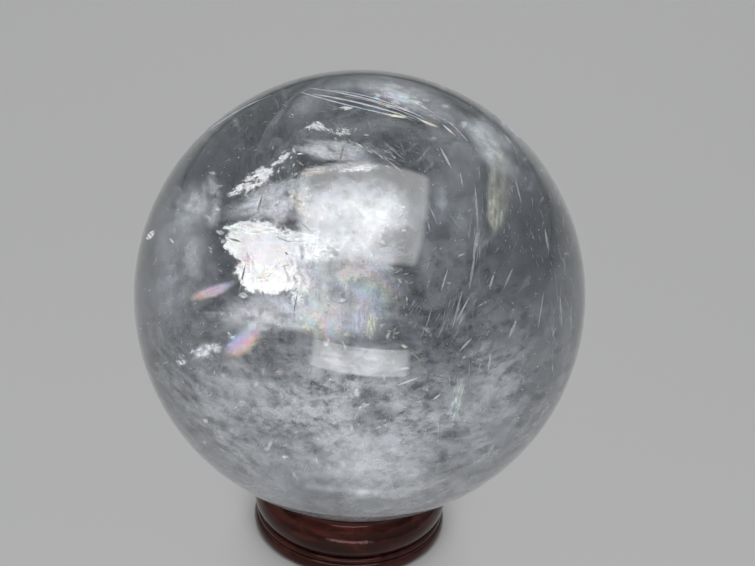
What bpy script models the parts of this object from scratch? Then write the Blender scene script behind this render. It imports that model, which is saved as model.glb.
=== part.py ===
"""Calcite sphere on its turned ring stand.

A polished sphere of clear calcite rests loosely in the conical seat of a small turned wooden ring.
Units are metres and +Z is up. The origin is the centre of the ring's foot, on the surface that the
stand rests on. Both pieces are round about the Z axis.
"""

import math

import bpy

# Driving dimensions, in metres
SPHERE_RADIUS = 0.0400
SPHERE_CENTRE_HEIGHT = 0.0495
SEAT_GAP = 0.0003

BORE_RADIUS = 0.0115
SEAT_INNER_RADIUS = 0.0122
SEAT_TOUCH_RADIUS = 0.0143
SEAT_OUTER_RADIUS = 0.0152
FOOT_OUTER_RADIUS = 0.0169
FOOT_INNER_RADIUS = 0.0119
FOOT_INNER_CHAMFER = 0.0004

# The tall upper bead is part of an ellipse
UPPER_BEAD_CENTRE_RADIUS = 0.0135
UPPER_BEAD_CENTRE_HEIGHT = 0.0077
UPPER_BEAD_HALF_WIDTH = 0.0042
UPPER_BEAD_HALF_HEIGHT = 0.0050
UPPER_BEAD_START = math.radians(66.0)
UPPER_BEAD_END = math.radians(-40.0)

# The groove, and the lower band with its rounded shoulder and foot
GROOVE_RADIUS = 0.0165
GROOVE_HEIGHT = 0.0042
BAND_RADIUS = 0.0177
BAND_TOP_HEIGHT = 0.0041
SHOULDER_ROUNDING = 0.0009
FOOT_ROUNDING = 0.0007

# Facets
SEGMENTS = 64
SPHERE_RINGS = 40
UPPER_BEAD_POINTS = 13
ROUNDING_POINTS = 4

# Colours read off the object, linear
CALCITE_COLOUR = (0.80, 0.82, 0.84, 1.0)
WOOD_COLOUR = (0.075, 0.022, 0.014, 1.0)


def clear_scene():
    """Remove whatever the opened file holds."""
    for item in list(bpy.data.objects):
        bpy.data.objects.remove(item, do_unlink=True)


def make_collection(name):
    """Return a new collection linked to the scene."""
    group = bpy.data.collections.new(name)
    bpy.context.scene.collection.children.link(group)
    return group


def make_material(name, colour, roughness, transmission=0.0, ior=1.5):
    """Return a Principled material without metal."""
    material = bpy.data.materials.new(name)
    material.use_nodes = True
    shader = material.node_tree.nodes["Principled BSDF"]
    shader.inputs["Base Color"].default_value = colour
    shader.inputs["Roughness"].default_value = roughness
    shader.inputs["Metallic"].default_value = 0.0
    shader.inputs["Transmission Weight"].default_value = transmission
    shader.inputs["IOR"].default_value = ior
    return material


def arc(centre, half_width, half_height, start, end, count):
    """Points (radius, height) of an elliptical arc from angle start to angle end."""
    points = []
    for step in range(count):
        angle = start + (end - start) * step / (count - 1)
        radius = centre[0] + half_width * math.cos(angle)
        height = centre[1] + half_height * math.sin(angle)
        points.append((radius, height))
    return points


def seat_height(radius):
    """Height of the conical seat at a radius.

    The cone lies parallel to the sphere's surface at the touch radius, SEAT_GAP away from it.
    """
    slope = math.asin(SEAT_TOUCH_RADIUS / (SPHERE_RADIUS + SEAT_GAP))
    touch_height = SPHERE_CENTRE_HEIGHT - (SPHERE_RADIUS + SEAT_GAP) * math.cos(slope)
    return touch_height + (radius - SEAT_TOUCH_RADIUS) * math.tan(slope)


def stand_profile():
    """The ring's closed section, from the seat down its outer side and back up the bore."""
    quarter = math.pi / 2
    profile = [
        (SEAT_INNER_RADIUS, seat_height(SEAT_INNER_RADIUS)),
        (SEAT_OUTER_RADIUS, seat_height(SEAT_OUTER_RADIUS)),
    ]
    profile += arc(
        (UPPER_BEAD_CENTRE_RADIUS, UPPER_BEAD_CENTRE_HEIGHT),
        UPPER_BEAD_HALF_WIDTH,
        UPPER_BEAD_HALF_HEIGHT,
        UPPER_BEAD_START,
        UPPER_BEAD_END,
        UPPER_BEAD_POINTS,
    )
    profile.append((GROOVE_RADIUS, GROOVE_HEIGHT))
    profile += arc(
        (BAND_RADIUS - SHOULDER_ROUNDING, BAND_TOP_HEIGHT - SHOULDER_ROUNDING),
        SHOULDER_ROUNDING,
        SHOULDER_ROUNDING,
        quarter,
        0.0,
        ROUNDING_POINTS,
    )
    profile += arc(
        (FOOT_OUTER_RADIUS, FOOT_ROUNDING),
        BAND_RADIUS - FOOT_OUTER_RADIUS,
        FOOT_ROUNDING,
        0.0,
        -quarter,
        ROUNDING_POINTS,
    )
    profile += [
        (FOOT_INNER_RADIUS, 0.0),
        (BORE_RADIUS, FOOT_INNER_CHAMFER),
        (BORE_RADIUS, seat_height(SEAT_INNER_RADIUS) - (SEAT_INNER_RADIUS - BORE_RADIUS)),
    ]
    return profile


def make_sphere(group, material):
    """The stone: one solid ball."""
    bpy.ops.mesh.primitive_uv_sphere_add(
        segments=SEGMENTS,
        ring_count=SPHERE_RINGS,
        radius=SPHERE_RADIUS,
        location=(0.0, 0.0, SPHERE_CENTRE_HEIGHT),
    )
    stone = bpy.context.object
    for holder in list(stone.users_collection):
        holder.objects.unlink(stone)
    group.objects.link(stone)
    stone.name = "calcite_sphere"
    stone.data.name = "calcite_sphere"
    stone.data.materials.append(material)
    stone.data.shade_smooth()
    return stone


def make_stand(group, material):
    """The stand: one turned ring, its section carried once round the axis."""
    profile = stand_profile()
    vertices = [(radius, 0.0, height) for radius, height in profile]
    edges = [(index, (index + 1) % len(profile)) for index in range(len(profile))]
    mesh = bpy.data.meshes.new("ring_stand")
    mesh.from_pydata(vertices, edges, [])
    mesh.materials.append(material)
    stand = bpy.data.objects.new("ring_stand", mesh)
    group.objects.link(stand)
    screw = stand.modifiers.new("turning", "SCREW")
    screw.axis = "Z"
    screw.angle = math.tau
    screw.steps = SEGMENTS
    screw.render_steps = SEGMENTS
    screw.use_merge_vertices = True
    screw.merge_threshold = 0.00001
    screw.use_smooth_shade = True
    return stand


def main():
    clear_scene()
    group = make_collection("calcite_sphere_on_stand")
    calcite = make_material("polished_calcite", CALCITE_COLOUR, 0.03, transmission=1.0, ior=1.6)
    wood = make_material("lacquered_wood", WOOD_COLOUR, 0.18)
    make_sphere(group, calcite)
    make_stand(group, wood)


main()
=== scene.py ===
"""Looks of a polished calcite sphere on its turned ring stand.

The stone is a clear, slightly smoky ball of crystal. Everything that gives it its character lies
inside: white fractures, milky veils, films that show rainbow colours, cleavage needles whose
whiteness is a painted glint, bright arcs near the top whose brightness is a painted internal
reflection, and dark cracks. Each of these is a thin surface worked out with numpy. Its outline is a
shape seen from the front, and each of its points is pushed along the line of sight, bent by the
stone's refraction, to a depth inside the ball.
"""

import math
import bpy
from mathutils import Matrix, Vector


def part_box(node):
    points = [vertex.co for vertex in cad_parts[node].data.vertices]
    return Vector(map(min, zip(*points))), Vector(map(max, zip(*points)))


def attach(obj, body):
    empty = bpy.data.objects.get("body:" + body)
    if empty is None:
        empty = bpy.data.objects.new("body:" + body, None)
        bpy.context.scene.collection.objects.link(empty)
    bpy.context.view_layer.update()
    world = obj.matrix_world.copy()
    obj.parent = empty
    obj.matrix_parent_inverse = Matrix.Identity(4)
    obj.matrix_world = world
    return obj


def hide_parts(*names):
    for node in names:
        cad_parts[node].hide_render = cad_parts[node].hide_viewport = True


bl_info = {
    "name": "Calcite sphere looks",
    "version": (1, 0, 0),
    "blender": (4, 5, 0),
    "location": "View3D > Sidebar > Calcite",
    "description": "Dresses a calcite sphere and its ring stand with flaws, finishes, lights and a camera",
    "category": "Object",
}

import bpy
import numpy as np
from bpy.props import FloatProperty, FloatVectorProperty, PointerProperty
from mathutils import Matrix, Vector

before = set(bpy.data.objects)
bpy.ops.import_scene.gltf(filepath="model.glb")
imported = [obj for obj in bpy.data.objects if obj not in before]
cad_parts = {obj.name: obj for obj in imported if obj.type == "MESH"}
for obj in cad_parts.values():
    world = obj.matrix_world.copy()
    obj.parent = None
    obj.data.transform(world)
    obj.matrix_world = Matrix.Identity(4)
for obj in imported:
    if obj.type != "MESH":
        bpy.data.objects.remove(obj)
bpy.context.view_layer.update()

STONE_LOW, STONE_HIGH = (np.array(corner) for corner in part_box("calcite_sphere"))
STONE_CENTRE = (STONE_LOW + STONE_HIGH) / 2
STONE_RADIUS = (STONE_HIGH[2] - STONE_LOW[2]) / 2

# The photograph's frame, and where the sphere stands in it, in pixels
PICTURE_WIDTH = 755
PICTURE_HEIGHT = 566
STONE_PIXEL = (359.8, 295.5)
STONE_RADIUS_PIXELS = 226.1

# The view: distance in metres, elevation and roll in degrees
CAMERA_DISTANCE = 0.45
CAMERA_ELEVATION = math.radians(32.1)
CAMERA_ROLL = math.radians(2.84)
SENSOR_WIDTH = 36.0
FOCAL_PIXELS = STONE_RADIUS_PIXELS / math.tan(math.asin(STONE_RADIUS / CAMERA_DISTANCE))

# Flaws keep this far inside the polished surface, as a share of the radius
DEEPEST_REACH = 0.985

# The depth of a thread's section for each pixel of its half width, as a share of the line of sight,
# the depths of a crack's two ends, and how much wider than listed the needles are
THREAD_DEPTH = 0.0008
CRACK_DEPTH = (0.05, 0.06)
NEEDLE_GIRTH = 1.3


# View geometry

VIEW_BACK = np.array([0.0, -math.cos(CAMERA_ELEVATION), math.sin(CAMERA_ELEVATION)])
VIEW_UP = np.array([0.0, math.sin(CAMERA_ELEVATION), math.cos(CAMERA_ELEVATION)])
CAMERA_PLACE = STONE_CENTRE + VIEW_BACK * CAMERA_DISTANCE


def pixel_sight(pixel_x, pixel_y):
    """The directions seen at the given pixels, on the camera's own axes."""
    return np.stack(
        [
            (pixel_x - PICTURE_WIDTH / 2) / FOCAL_PIXELS,
            (PICTURE_HEIGHT / 2 - pixel_y) / FOCAL_PIXELS,
            -np.ones(np.shape(pixel_x)),
        ],
        axis=-1,
    )


def camera_turn():
    """The camera's axes as the columns of a 3 by 3 array: right, up and back.

    The view looks down at the sphere from the front, is rolled, and is then turned a little so that
    the sphere's centre lands on its pixel.
    """
    level = np.column_stack([(1.0, 0.0, 0.0), VIEW_UP, VIEW_BACK])
    cos_roll = math.cos(CAMERA_ROLL)
    sin_roll = math.sin(CAMERA_ROLL)
    roll = np.array([[cos_roll, -sin_roll, 0.0], [sin_roll, cos_roll, 0.0], [0.0, 0.0, 1.0]])
    aim = Vector(pixel_sight(*STONE_PIXEL))
    return level @ roll @ np.array(aim.rotation_difference(Vector((0.0, 0.0, -1.0))).to_matrix())


CAMERA_TURN = camera_turn()


def inside(pixel_x, pixel_y, depth, ior):
    """Points inside the stone that are seen at the given pixels.

    The line of sight meets the ball, bends towards its middle by Snell's law, and crosses it on a
    chord. depth is the share of that chord, from 0 at the front to 1 at the back.
    """
    pixel_x, pixel_y, depth = np.broadcast_arrays(pixel_x, pixel_y, depth)
    sight = pixel_sight(pixel_x, pixel_y) @ CAMERA_TURN.T
    sight /= np.linalg.norm(sight, axis=-1, keepdims=True)
    start = CAMERA_PLACE - STONE_CENTRE
    along = -(sight @ start)
    closest = start + sight * along[..., None]
    miss = np.minimum(np.linalg.norm(closest, axis=-1), STONE_RADIUS * 0.9999)
    reach = np.sqrt(STONE_RADIUS**2 - miss**2)
    entry = start + sight * (along - reach)[..., None]
    normal = entry / np.linalg.norm(entry, axis=-1, keepdims=True)
    cos_in = -np.sum(sight * normal, axis=-1, keepdims=True)
    ratio = 1.0 / ior
    cos_out = np.sqrt(1.0 - ratio**2 * (1.0 - cos_in**2))
    bent = ratio * sight + (ratio * cos_in - cos_out) * normal
    chord = -2.0 * np.sum(bent * normal, axis=-1, keepdims=True) * STONE_RADIUS
    points = normal * STONE_RADIUS + bent * chord * depth[..., None]
    distance = np.linalg.norm(points, axis=-1, keepdims=True)
    points *= np.minimum(1.0, STONE_RADIUS * DEEPEST_REACH / np.maximum(distance, 1e-9))
    return points + STONE_CENTRE


def swing_round(points, angle):
    """The points, turned about the vertical line through the stone's centre."""
    turn = np.array(Matrix.Rotation(angle, 3, "Z"))
    return (points - STONE_CENTRE) @ turn.T + STONE_CENTRE


def ripples(seed, x, y, pitch, count=7):
    """Smooth noise between about -1 and 1: sine waves of random direction and phase, added up.

    pitch is the mean number of radians of phase for each unit of x and y.
    """
    draw = np.random.default_rng(seed)
    total = np.zeros(np.broadcast(x, y).shape)
    for _ in range(count):
        heading = draw.uniform(0, math.tau)
        rate = pitch * draw.uniform(0.5, 1.8)
        phase = draw.uniform(0, math.tau)
        total += np.sin(rate * (x * math.cos(heading) + y * math.sin(heading)) + phase)
    return total / math.sqrt(count * 2.0)


# Mesh helpers

def put_mesh(name, points, faces, patch=None, smooth=True):
    """A new object from points and arrays of faces. patch is a vector stored on each point."""
    mesh = bpy.data.meshes.new(name)
    points = np.asarray(points, np.float32).reshape(-1, 3)
    corners = np.concatenate([block.ravel() for block in faces]).astype(np.int32)
    sizes = np.concatenate([np.full(len(block), block.shape[1]) for block in faces])
    starts = np.concatenate([[0], np.cumsum(sizes)[:-1]]).astype(np.int32)
    mesh.vertices.add(len(points))
    mesh.vertices.foreach_set("co", points.ravel())
    mesh.loops.add(len(corners))
    mesh.loops.foreach_set("vertex_index", corners)
    mesh.polygons.add(len(sizes))
    mesh.polygons.foreach_set("loop_start", starts)
    if patch is not None:
        field = mesh.attributes.new("patch", "FLOAT_VECTOR", "POINT")
        field.data.foreach_set("vector", np.asarray(patch, np.float32).ravel())
    mesh.update(calc_edges=True)
    mesh.validate()
    if smooth:
        mesh.shade_smooth()
    else:
        mesh.shade_flat()
    piece = bpy.data.objects.new(name, mesh)
    bpy.context.scene.collection.objects.link(piece)
    return piece


def turned(radius, height, columns):
    """A grid of points: each radius and height, carried round the Z axis in equal steps."""
    around = np.arange(columns) * math.tau / columns
    radius = np.asarray(radius)[:, None]
    height = np.broadcast_to(np.asarray(height)[:, None], (len(radius), columns))
    return np.stack([radius * np.cos(around), radius * np.sin(around), height], axis=-1)


def ball_points(rows, columns):
    """A unit ball: circles at equal steps of the polar angle between the two poles."""
    polar = (np.arange(rows) + 1.0) * math.pi / (rows + 1)
    circles = turned(np.sin(polar), np.cos(polar), columns).reshape(-1, 3)
    return np.concatenate([[(0.0, 0.0, 1.0)], circles, [(0.0, 0.0, -1.0)]])


def grid_faces(rows, columns, closed=True):
    """Faces of a grid that closes round its columns, and round its rows where closed."""
    row = np.arange(rows if closed else rows - 1)[:, None]
    column = np.arange(columns)[None, :]
    below = (row + 1) % rows
    following = (column + 1) % columns
    quads = np.stack(
        [
            row * columns + column,
            below * columns + column,
            below * columns + following,
            row * columns + following,
        ],
        axis=-1,
    )
    return quads.reshape(-1, 4)


def pole_faces(rows, columns, closed=True):
    """Faces of circles of points that follow a pole and, where closed, end in another."""
    ring = np.arange(columns)
    after = (ring + 1) % columns
    caps = [np.stack([np.zeros(columns, int), 1 + ring, 1 + after], axis=-1)]
    if closed:
        last = rows * columns + 1
        base = last - columns
        caps.append(np.stack([np.full(columns, last), base + after, base + ring], axis=-1))
    return [1 + grid_faces(rows, columns, closed=False), np.concatenate(caps)]


def repeat_faces(blocks, stride, count):
    """The faces of count copies of one mesh whose points follow each other, stride points apart."""
    shift = np.arange(count)[:, None, None] * stride
    return [(block[None] + shift).reshape(-1, block.shape[1]) for block in blocks]


# Flakes

FLAKE_DEFAULTS = {
    "bow": (0.0, 0.0), "curl": 0.0, "rumple": 0.02, "thick": 0.004, "outline": (1.0,),
    "phase": (0.5, 0.3, 0.3), "hue": 0.0, "swing": 0.0,
}


def flake_points(flaw, ior, rings, spokes, closed):
    """Points of a thin flake or veil, and the patch vector of each.

    The outline is an ellipse in the picture, turned by flaw["turn"], times the radii in
    flaw["outline"], which stand at equal angles, and made ragged by ripples. Its depth is
    flaw["depth"] plus a lean across its two axes, a bow along them and ripples. The patch holds the
    phase of the film's colours, a free value and the share of the way from the middle to the edge.
    A closed flake has two faces that part by a lens-shaped thickness and meet along the edge.
    flaw["swing"] then carries it round the stone, so that it shows from another side.
    """
    share = np.sin(np.linspace(0, math.pi / 2, rings + 1)[1:])
    side = -np.ones(rings)
    side[-1] = 0.0
    if closed:
        share = np.concatenate([share, share[-2::-1]])
        side = np.concatenate([side, np.ones(rings - 1)])
    angle = np.arange(spokes) * math.tau / spokes
    seed = flaw["seed"]
    outline = np.array(flaw["outline"])
    corner = np.arange(len(outline) + 1) * math.tau / len(outline)
    edge = np.interp(angle, corner, np.append(outline, outline[0]))
    ragged = edge * (1.0 + flaw["ragged"] * (
        0.6 * ripples(seed, np.cos(angle), np.sin(angle), 4.0)
        + 0.4 * ripples(seed + 1, np.cos(angle), np.sin(angle), 17.0)
        + 0.2 * ripples(seed + 2, np.cos(angle), np.sin(angle), 60.0)
    ))
    u = share[:, None] * (ragged * np.cos(angle))[None, :]
    v = share[:, None] * (ragged * np.sin(angle))[None, :]
    tail = [0.0] if closed else []
    share_all = np.concatenate([[0.0], np.repeat(share, spokes), tail])
    side_all = np.concatenate([[-1.0], np.repeat(side, spokes), [1.0] if closed else []])
    u = np.concatenate([[0.0], u.ravel(), tail])
    v = np.concatenate([[0.0], v.ravel(), tail])
    turn = math.radians(flaw["turn"])
    wide, tall = flaw["reach"]
    across = u * wide * math.cos(turn) - v * tall * math.sin(turn)
    upward = u * wide * math.sin(turn) + v * tall * math.cos(turn)
    upward = upward + flaw["curl"] * tall * (u**2 - 0.5)
    depth = (
        flaw["depth"]
        + flaw["lean"][0] * u
        + flaw["lean"][1] * v
        + flaw["bow"][0] * u**2
        + flaw["bow"][1] * v**2
        + flaw["rumple"] * (ripples(seed + 3, u, v, 2.2) + 0.35 * ripples(seed + 4, u, v, 9.0))
    )
    depth = depth + side_all * flaw["thick"] * np.sqrt(np.maximum(0.0, 1.0 - share_all**2))
    centre_x, centre_y = flaw["at"]
    points = inside(centre_x + across, centre_y - upward, np.clip(depth, 0.01, 0.99), ior)
    points = swing_round(points, math.radians(flaw["swing"]))
    along, up, drift = flaw["phase"]
    phase = flaw["hue"] + along * u + up * v + drift * ripples(seed + 5, u, v, 3.0)
    return points, np.stack([phase, v, share_all], axis=-1)


def make_flake(row, ior, closed=False, rings=22, spokes=120):
    """One flake as an object, from a row of its table.

    A row holds the name, the centre and the half axes in pixels, the turn in degrees, the depth, the
    lean along both axes, the raggedness, the seed, and what differs from FLAKE_DEFAULTS.
    """
    name, x, y, wide, tall, turn, depth, lean_along, lean_up, ragged, seed, *more = row
    flaw = dict(
        FLAKE_DEFAULTS, at=(x, y), reach=(wide, tall), turn=turn, depth=depth,
        lean=(lean_along, lean_up), ragged=ragged, seed=seed,
    )
    for changes in more:
        flaw.update(changes)
    points, patch = flake_points(flaw, ior, rings, spokes, closed)
    rows = 2 * rings - 1 if closed else rings
    return put_mesh(name, points, pole_faces(rows, spokes, closed), patch)


def make_cluster(name, row, ior, seed, rings=5, spokes=26):
    """Many small flakes as one object, drawn at random round a pixel.

    A row holds the pixel, the standard deviations along and across the turn, the count, the smallest
    and largest reach, the nearest and farthest depth, the turn, how much it wanders, and how narrow
    the flakes are. After these may come a range of hues and a swing.
    """
    x, y, spread, cross_spread, count, small, large, near, far, turn, wander, squeeze, *more = row
    other = {"hues": (0.0, 1.0), "swing": 0.0}
    for changes in more:
        other.update(changes)
    draw = np.random.default_rng(seed)
    lean = math.radians(turn)
    points, patches = [], []
    for number in range(count):
        along, over = draw.normal(0, 1, 2) * (spread, cross_spread)
        reach = math.exp(draw.uniform(math.log(small), math.log(large)))
        flaw = dict(
            FLAKE_DEFAULTS,
            at=(
                x + along * math.cos(lean) - over * math.sin(lean),
                y - along * math.sin(lean) - over * math.cos(lean),
            ),
            reach=(reach, reach * draw.uniform(squeeze * 0.5, squeeze * 1.3)),
            turn=turn + draw.normal(0, wander),
            depth=draw.uniform(near, far),
            lean=tuple(draw.normal(0, 0.012, 2)),
            rumple=0.004,
            ragged=0.25,
            outline=tuple(draw.uniform(0.4, 1.3, 9)),
            seed=seed * 1000 + number * 7,
            phase=(0.2, 0.2, 0.1),
            swing=other["swing"],
        )
        spot, patch = flake_points(flaw, ior, rings, spokes, False)
        patch[:, 0] += draw.uniform(*other["hues"])
        points.append(spot)
        patches.append(patch)
    faces = repeat_faces(pole_faces(rings, spokes, closed=False), len(points[0]), count)
    return put_mesh(name, np.concatenate(points), faces, np.concatenate(patches))


# Threads: needles, cracks, slivers and bright arcs near the top

def thread_points(line, swell, level, ends, ior):
    """Points of a thin closed thread with pointed ends.

    The section is a small diamond across the line of sight, carried along the pixels in line. swell
    is its half width and level its depth at each of them. ends holds pixel and depth of both tips.
    """
    run = np.gradient(line, axis=0)
    across = np.stack([-run[:, 1], run[:, 0]], axis=-1)
    across /= np.maximum(np.linalg.norm(across, axis=-1, keepdims=True), 1e-6)
    corner = np.arange(4) * math.pi / 2
    offset = swell[:, None] * np.cos(corner)
    push = swell[:, None] * np.sin(corner) * THREAD_DEPTH
    body = np.stack(
        [
            line[:, :1] + across[:, :1] * offset,
            line[:, 1:] + across[:, 1:] * offset,
            level[:, None] + push,
        ],
        axis=-1,
    )
    return inside(*np.concatenate([ends[:1], body.reshape(-1, 3), ends[1:]]).T, ior)


def make_slivers(name, rows, ior, steps=9):
    """Many straight threads as one object, their half width following a half sine.

    Each row holds both ends in pixels, the largest half width, and the depths of both ends.
    """
    share = (np.arange(steps) + 1.0) / (steps + 1)
    points = []
    for row in rows:
        start_x, start_y, stop_x, stop_y, width, near, far = row
        ends = np.array([(start_x, start_y, near), (stop_x, stop_y, far)], float)
        path = ends[0] + (ends[1] - ends[0]) * share[:, None]
        swell = np.sin(share * math.pi) * width
        points.append(thread_points(path[:, :2], swell, path[:, 2], ends, ior))
    faces = repeat_faces(pole_faces(steps, 4), len(points[0]), len(points))
    return put_mesh(name, np.concatenate(points), faces, smooth=False)


def group_slivers(seed, row):
    """Rows of slivers drawn at random round a pixel.

    row holds the pixel, the spread both ways, the heading, counter-clockwise from the picture's
    right, and how much it wanders, the shortest and longest length, the count and the width.
    """
    x, y, wide, tall, heading, wander, shortest, longest, count, width = row
    draw = np.random.default_rng(seed)
    middle = np.array((x, y)) + draw.normal(0, 0.6, (count, 2)) * np.array((wide, tall))
    angle = np.radians(draw.normal(heading, wander, count))
    half = draw.uniform(shortest, longest, count) / 2
    step = np.stack([np.cos(angle), -np.sin(angle)], axis=-1) * half[:, None]
    level = draw.uniform(0.16, 0.5, count)
    girth = width * draw.uniform(0.25, 0.9, count)
    return np.column_stack([middle - step, middle + step, girth, level, level + 0.03])


# Node helpers

class Nodes:
    """A node tree and short calls that add to it."""

    def __init__(self, tree):
        self.tree = tree

    def add(self, kind, **settings):
        """A new node, with its properties set."""
        made = self.tree.nodes.new(kind)
        for key, value in settings.items():
            setattr(made, key, value)
        return made

    def feed(self, target, value):
        """Link a socket, or set a plain value or colour, whichever value is."""
        if isinstance(value, bpy.types.NodeSocket):
            self.tree.links.new(value, target)
        elif target.type == "RGBA":
            target.default_value = (*value, 1.0)
        else:
            target.default_value = value

    def math(self, operation, first, second=0.0, clamp=False):
        """A Math node's output."""
        made = self.add("ShaderNodeMath", operation=operation, use_clamp=clamp)
        self.feed(made.inputs[0], first)
        self.feed(made.inputs[1], second)
        return made.outputs[0]

    def spread(self, value, low, high, out_low=0.0, out_high=1.0):
        """Map Range, clamped and eased."""
        made = self.add("ShaderNodeMapRange", clamp=True, interpolation_type="SMOOTHSTEP")
        self.feed(made.inputs["Value"], value)
        made.inputs["From Min"].default_value = low
        made.inputs["From Max"].default_value = high
        made.inputs["To Min"].default_value = out_low
        made.inputs["To Max"].default_value = out_high
        return made.outputs["Result"]

    def split(self, vector):
        """The outputs X, Y and Z of a vector."""
        made = self.add("ShaderNodeSeparateXYZ")
        self.feed(made.inputs["Vector"], vector)
        return made.outputs

    def ramp(self, value, stops, ease="LINEAR"):
        """A colour ramp with (position, colour) stops."""
        made = self.add("ShaderNodeValToRGB")
        band = made.color_ramp
        band.interpolation = ease
        while len(band.elements) < len(stops):
            band.elements.new(0.5)
        for element, (position, colour) in zip(band.elements, stops):
            element.position = position
            element.color = (*colour, 1.0)
        self.feed(made.inputs["Fac"], value)
        return made.outputs["Color"]


class Finish(Nodes):
    """A material and the nodes of its surface."""

    def __init__(self, name):
        self.material = bpy.data.materials.new(name)
        self.material.use_nodes = True
        super().__init__(self.material.node_tree)
        self.tree.nodes.clear()
        self.output = self.add("ShaderNodeOutputMaterial")

    def place(self, stretch=(1.0, 1.0, 1.0), turn=(0.0, 0.0, 0.0)):
        """Object coordinates through a Mapping node."""
        mapping = self.add("ShaderNodeMapping")
        mapping.inputs["Scale"].default_value = stretch
        mapping.inputs["Rotation"].default_value = turn
        self.feed(mapping.inputs["Vector"], self.add("ShaderNodeTexCoord").outputs["Object"])
        return mapping.outputs["Vector"]

    def patch(self):
        """The piece's own patch vector, split."""
        return self.split(self.add("ShaderNodeAttribute", attribute_name="patch").outputs["Vector"])

    def noise(self, vector, scale, detail=4.0, rough=0.55, warp=0.0):
        """A noise texture's value."""
        made = self.add("ShaderNodeTexNoise")
        self.feed(made.inputs["Vector"], vector)
        made.inputs["Scale"].default_value = scale
        made.inputs["Detail"].default_value = detail
        made.inputs["Roughness"].default_value = rough
        made.inputs["Distortion"].default_value = warp
        return made.outputs["Fac"]

    def blend(self, share, first, second):
        """Mix two colours."""
        made = self.add("ShaderNodeMix", data_type="RGBA")
        for socket, value in ((0, share), (6, first), (7, second)):
            self.feed(made.inputs[socket], value)
        return made.outputs[2]

    def mottle(self, shade, dark, light, low=0.35, high=0.65):
        """Two tints, mixed where the shade passes from low to high."""
        return self.blend(self.spread(shade, low, high), dark, light)

    def bump(self, height, strength, distance):
        """A Bump node's normal."""
        made = self.add("ShaderNodeBump")
        made.inputs["Strength"].default_value = strength
        made.inputs["Distance"].default_value = distance
        self.feed(made.inputs["Height"], height)
        return made.outputs["Normal"]

    def principled(self, **values):
        """The Principled shader, joined to the output. Keys are socket names with underscores."""
        shader = self.add("ShaderNodeBsdfPrincipled")
        for key, value in values.items():
            self.feed(shader.inputs[key.replace("_", " ")], value)
        self.feed(self.output.inputs["Surface"], shader.outputs["BSDF"])


SPECTRUM = [
    (0.00, (0.95, 0.90, 0.55)),
    (0.14, (0.95, 0.55, 0.30)),
    (0.28, (0.90, 0.40, 0.55)),
    (0.44, (0.55, 0.42, 0.85)),
    (0.58, (0.35, 0.60, 0.95)),
    (0.74, (0.45, 0.88, 0.75)),
    (0.88, (0.80, 0.95, 0.55)),
    (1.00, (0.95, 0.90, 0.55)),
]


def flaw_finish(
    name, dark, light, grain, cover, most=1.0, soft=0.3, jitter=0.4, film=0.0, bands=1.5, rough=0.5,
    relief=0.4, stretch=(1.0, 1.0, 1.0), turn=(0.0, 0.0, 0.0),
):
    """Finish of a flaw: mottled between two tints, with ragged cover that fades towards its edge.

    film is the share of rainbow colour, most the largest opacity and cover the noise values between
    which the flaw goes from absent to present.
    """
    finish = Finish(name)
    place = finish.place(stretch, turn)
    fine = finish.noise(place, grain, 4.0, 0.65)
    coarse = finish.noise(place, grain * 0.3, 4.0, 0.62)
    patch = finish.patch()
    wander = finish.math("MULTIPLY", finish.math("SUBTRACT", fine, 0.5), jitter)
    fade = finish.spread(finish.math("ADD", patch["Z"], wander), 1.0 - soft, 1.0, 1.0, 0.0)
    present = finish.math("MULTIPLY", fade, finish.spread(coarse, *cover))
    tint = finish.mottle(fine, dark, light)
    if film > 0.0:
        travel = finish.math("ADD", patch["X"], finish.math("MULTIPLY", coarse, bands))
        hue = finish.ramp(finish.math("FRACT", travel), SPECTRUM)
        share = finish.math("MULTIPLY", finish.spread(fine, 0.3, 0.6), film)
        tint = finish.blend(share, tint, hue)
    finish.principled(
        Base_Color=tint, Roughness=rough, Alpha=finish.math("MULTIPLY", present, most),
        Normal=finish.bump(fine, relief, 0.0004),
    )
    return finish.material


def dress(piece, material, slot="polished_calcite"):
    """Give a piece its material and its body. Unless slot is polished_calcite, the default, it casts
    shadows and shows to diffuse rays.
    """
    piece.data.materials.clear()
    piece.data.materials.append(material)
    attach(piece, "root")
    piece.visible_shadow = slot != "polished_calcite"
    piece.visible_diffuse = slot != "polished_calcite"


def make_flaws(context, finish_name, rows, cluster="", clusters=(), first_seed=0, **sizes):
    """One object for each row of flakes and then of clusters, all in one finish."""
    ior = context.scene.calcite_stone.ior
    material = flaw_finish(finish_name, **FINISHES[finish_name])
    for row in rows:
        dress(make_flake(row, ior, **sizes), material)
    for number, row in enumerate(clusters):
        dress(make_cluster(f"{cluster}_{number + 1}", row, ior, first_seed + number), material)


# Settings

class CalciteStoneSettings(bpy.types.PropertyGroup):
    """The clear body of the stone."""

    ior: FloatProperty(
        name="Index of refraction", description="How strongly the stone bends light",
        default=1.6, min=1.0, max=2.5,
    )
    smoke: FloatProperty(
        name="Smokiness", description="Absorption of light on its way through the stone, per metre",
        default=39.0, min=0.0, max=200.0,
    )
    smoke_tint: FloatVectorProperty(
        name="Tint", description="Colour that the stone lets through", subtype="COLOR",
        default=(0.16, 0.19, 0.22), min=0.0, max=1.0,
    )
    milk_low: FloatProperty(
        name="Milk below", description="Cover of each cloud shell at the bottom of the stone",
        default=0.110, min=0.0, max=1.0, subtype="FACTOR",
    )
    milk_high: FloatProperty(
        name="Milk above", description="Cover of each cloud shell at the top of the stone",
        default=0.052, min=0.0, max=1.0, subtype="FACTOR",
    )


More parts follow.
